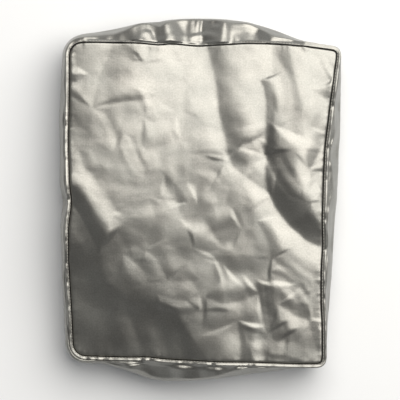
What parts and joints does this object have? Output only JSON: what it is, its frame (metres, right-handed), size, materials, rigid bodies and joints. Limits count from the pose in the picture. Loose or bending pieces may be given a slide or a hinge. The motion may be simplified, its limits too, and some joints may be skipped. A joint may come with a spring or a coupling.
{
  "type": "electric vehicle charger cover",
  "caption": "Fitted box-shaped cover of silver-coated cloth, lying on its open back: a front panel with folds, sewn to a gusset that leans out and ends in a flat hem.",
  "frame": {"origin": "middle of the footprint, on the surface that the cover lies on", "axes": "+Z out of the front panel, +Y to the cover's top edge in use, +X to the right of someone who looks at the front panel"},
  "size_m": [0.3206, 0.4134, 0.0686],
  "materials": {
    "front_panel_cloth": "woven polyester with a silver-grey coating, soft sheen",
    "gusset_cloth": "woven polyester with a silver-grey coating, soft sheen"
  },
  "bodies": {
    "root": {"front_panel": "front_panel_cloth", "gusset": "gusset_cloth"}
  },
  "joints": []
}
